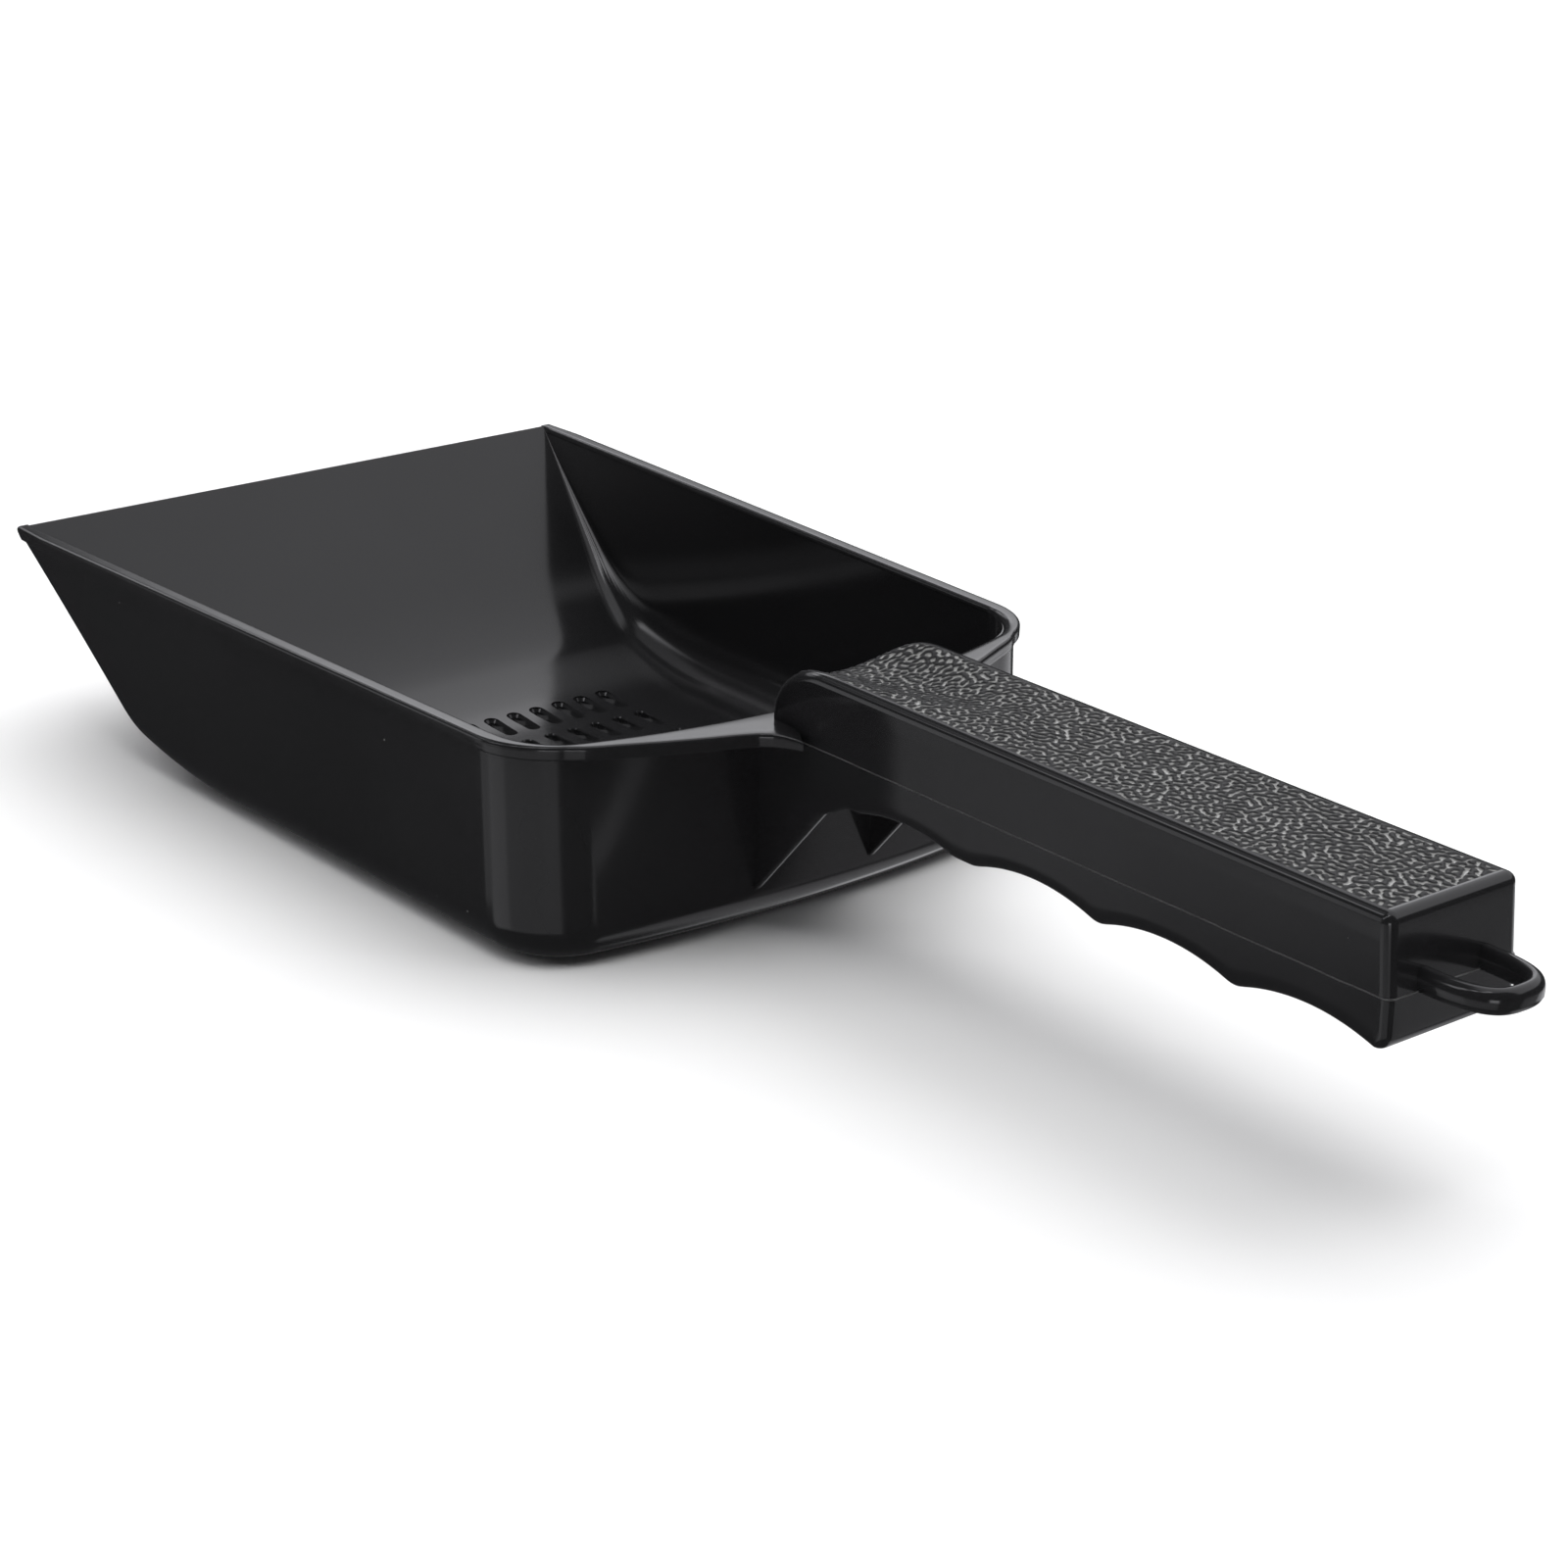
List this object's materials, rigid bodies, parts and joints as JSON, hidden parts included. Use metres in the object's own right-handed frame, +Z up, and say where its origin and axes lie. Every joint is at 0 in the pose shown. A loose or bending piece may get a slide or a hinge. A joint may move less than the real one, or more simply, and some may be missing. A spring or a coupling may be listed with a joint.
{
  "type": "grain scoop shovel",
  "caption": "Square-lipped hand scoop with a slotted floor, flanged rim and a straight hollow finger grip that ends in a hang ring.",
  "frame": {"origin": "on the ground under the middle of the pan's flat floor, on the centre plane; the underside of the floor is z = 0", "axes": "+X from the pan's lip towards the grip and the hang ring, +Y to the left of a user holding the grip, +Z up out of the open pan"},
  "size_m": [0.2906, 0.114, 0.0452],
  "materials": {
    "body_plastic": "black injection-moulded polypropylene, polished mould",
    "grained_plastic": "same black plastic with a coarse moulded leather grain"
  },
  "bodies": {
    "root": {"pan": "body_plastic", "rim": "body_plastic", "web_left": "body_plastic", "web_right": "body_plastic", "grip_lower": "body_plastic", "lower_ribs": "body_plastic", "grip_cover": "body_plastic", "cover_ribs": "body_plastic", "grain_panel": "grained_plastic", "hang_ring": "body_plastic"}
  },
  "joints": []
}
